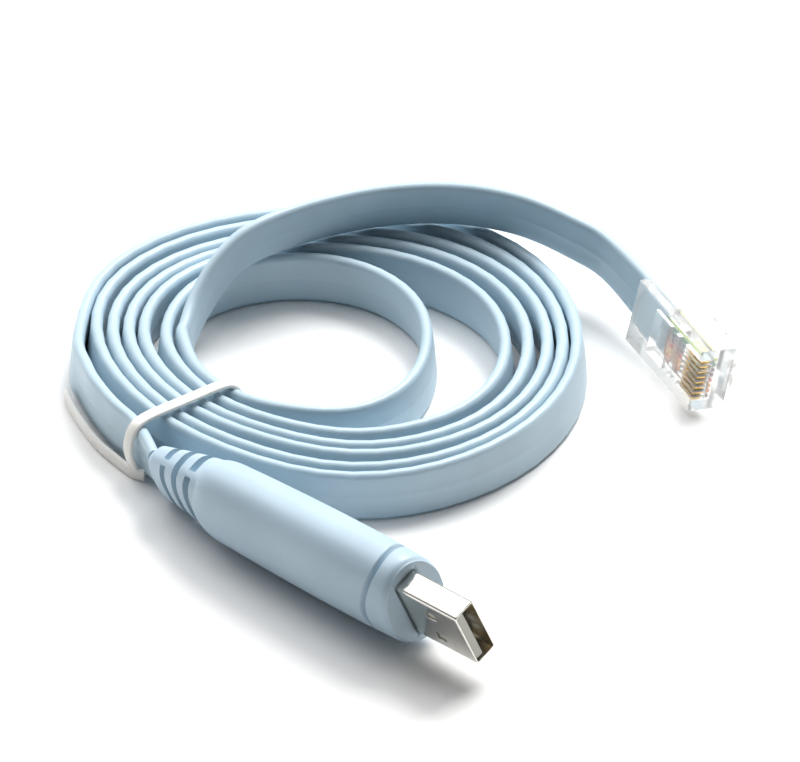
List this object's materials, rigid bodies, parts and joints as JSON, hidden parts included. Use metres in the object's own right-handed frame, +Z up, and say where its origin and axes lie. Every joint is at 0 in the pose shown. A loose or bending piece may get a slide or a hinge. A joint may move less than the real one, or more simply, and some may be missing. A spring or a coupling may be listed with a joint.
{
  "type": "rj45 console cable",
  "caption": "Flat light blue console cable in a loose tied coil, with a moulded metal-shelled plug on one end and a clear modular plug on the other.",
  "frame": {"origin": "middle of the box round the two plugs, on the floor that the cable lies on", "axes": "+Z up from the floor, +X to the right and +Y away as seen from the side where both plugs point"},
  "size_m": [0.1103, 0.13, 0.0182],
  "materials": {
    "jacket": "smooth, soft sheen",
    "housing": "smooth moulded, soft sheen",
    "steel": "plated, bright",
    "insulator": "satin",
    "gold": "gold plated",
    "clear": "clear polycarbonate, polished",
    "tie": "smooth",
    "wire_1": "smooth",
    "wire_2": "smooth",
    "wire_3": "smooth",
    "wire_4": "smooth",
    "wire_5": "smooth",
    "wire_6": "smooth",
    "wire_7": "smooth",
    "wire_8": "smooth"
  },
  "bodies": {
    "root": {"cable_coil": "jacket", "cable_arm": "jacket", "cable_tail": "jacket", "twist_tie": "tie", "usb_housing": "housing", "usb_shell": "steel", "usb_tongue": "insulator", "usb_contact_1": "gold", "usb_contact_2": "gold", "usb_contact_3": "gold", "usb_contact_4": "gold", "rj45_body": "clear", "rj45_contact_1": "gold", "rj45_contact_2": "gold", "rj45_contact_3": "gold", "rj45_contact_4": "gold", "rj45_contact_5": "gold", "rj45_contact_6": "gold", "rj45_contact_7": "gold", "rj45_contact_8": "gold", "conductor_1": "wire_1", "conductor_2": "wire_2", "conductor_3": "wire_3", "conductor_4": "wire_4", "conductor_5": "wire_5", "conductor_6": "wire_6", "conductor_7": "wire_7", "conductor_8": "wire_8"}
  },
  "joints": []
}
